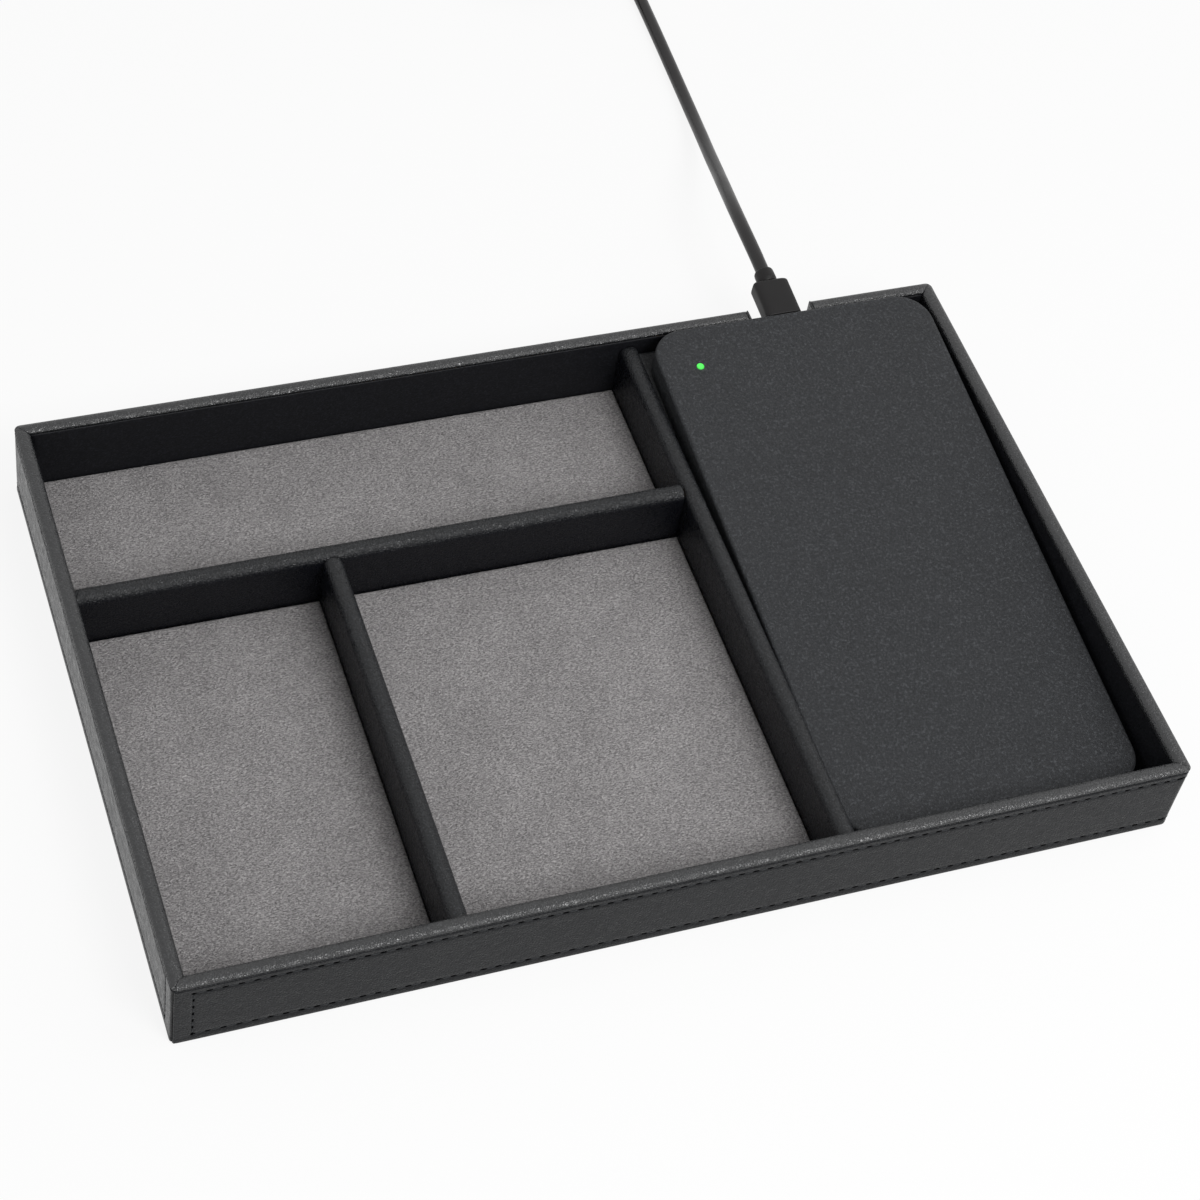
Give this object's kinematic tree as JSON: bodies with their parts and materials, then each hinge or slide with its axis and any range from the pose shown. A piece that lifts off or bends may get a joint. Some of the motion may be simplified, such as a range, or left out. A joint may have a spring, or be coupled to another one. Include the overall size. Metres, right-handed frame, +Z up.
{
  "type": "charging station organizer",
  "caption": "Low leather valet tray with padded compartments, a sloping wireless charging pad and a USB-C cord that leaves through a notch at the back.",
  "frame": {"origin": "centre of the tray's underside, on the table", "axes": "+X to the right along the tray, +Y to the back where the cord leaves, +Z up"},
  "size_m": [0.3, 0.461, 0.0319],
  "materials": {
    "leather": "fine grain, semi-matt",
    "pad_leather": "fine grain, matt",
    "lining": "smooth, matt",
    "suede": "brushed microsuede",
    "foam": "matt",
    "felt": "matt felt",
    "board": "pressed fibre board",
    "black_plastic": "matt",
    "white_plastic": "satin",
    "rubber": "matt",
    "cord_rubber": "satin",
    "hook_strap": "matt woven",
    "steel": "brushed",
    "copper": "enamelled wire",
    "ferrite": "matt",
    "circuit": "glossy",
    "chip": "matt",
    "lamp": "clear, glowing green"
  },
  "bodies": {
    "root": {"felt_base": "felt", "base_board": "board", "front_board": "board", "back_board": "board", "left_board": "board", "right_board": "board", "front_leather": "leather", "back_leather": "leather", "left_leather": "leather", "right_leather": "leather", "rim_binding": "leather", "front_lining": "lining", "back_lining": "lining", "left_lining": "lining", "right_lining": "lining", "notch_lining": "lining", "cross_divider_board": "board", "cross_divider_wrap": "leather", "short_divider_board": "board", "short_divider_wrap": "leather", "long_divider_board": "board", "long_divider_wrap": "leather", "glasses_floor_foam": "foam", "glasses_floor_suede": "suede", "watch_floor_foam": "foam", "watch_floor_suede": "suede", "key_floor_foam": "foam", "key_floor_suede": "suede", "bay_wedge": "board", "bay_cover": "leather"},
    "charger": {"charger_cover": "pad_leather", "charger_top_shell": "black_plastic", "charger_bottom_shell": "black_plastic", "charging_coil": "copper", "ferrite_shield": "ferrite", "circuit_board": "circuit", "board_chips": "chip", "status_lamp": "lamp", "status_light_pipe": "lamp", "usb_port": "steel", "port_tongue": "black_plastic", "charger_screws": "steel", "charger_feet": "rubber"},
    "cable": {"plug_shell": "steel", "plug_body": "cord_rubber", "plug_collar": "cord_rubber", "cord": "cord_rubber", "cord_coil": "cord_rubber", "cord_tail": "cord_rubber", "cord_tie": "hook_strap", "far_plug_collar": "cord_rubber", "far_plug_body": "cord_rubber", "far_plug_shell": "steel", "far_plug_tongue": "white_plastic"}
  },
  "joints": [
    {"name": "charger_lift", "type": "slide", "parent": "root", "child": "charger", "axis": [0, 0, 1], "range_m": [0, 0.04]},
    {"name": "plug_pull", "type": "slide", "parent": "charger", "child": "cable", "axis": [0, 0.9959, 0.0906], "range_m": [0, 0.012]}
  ]
}
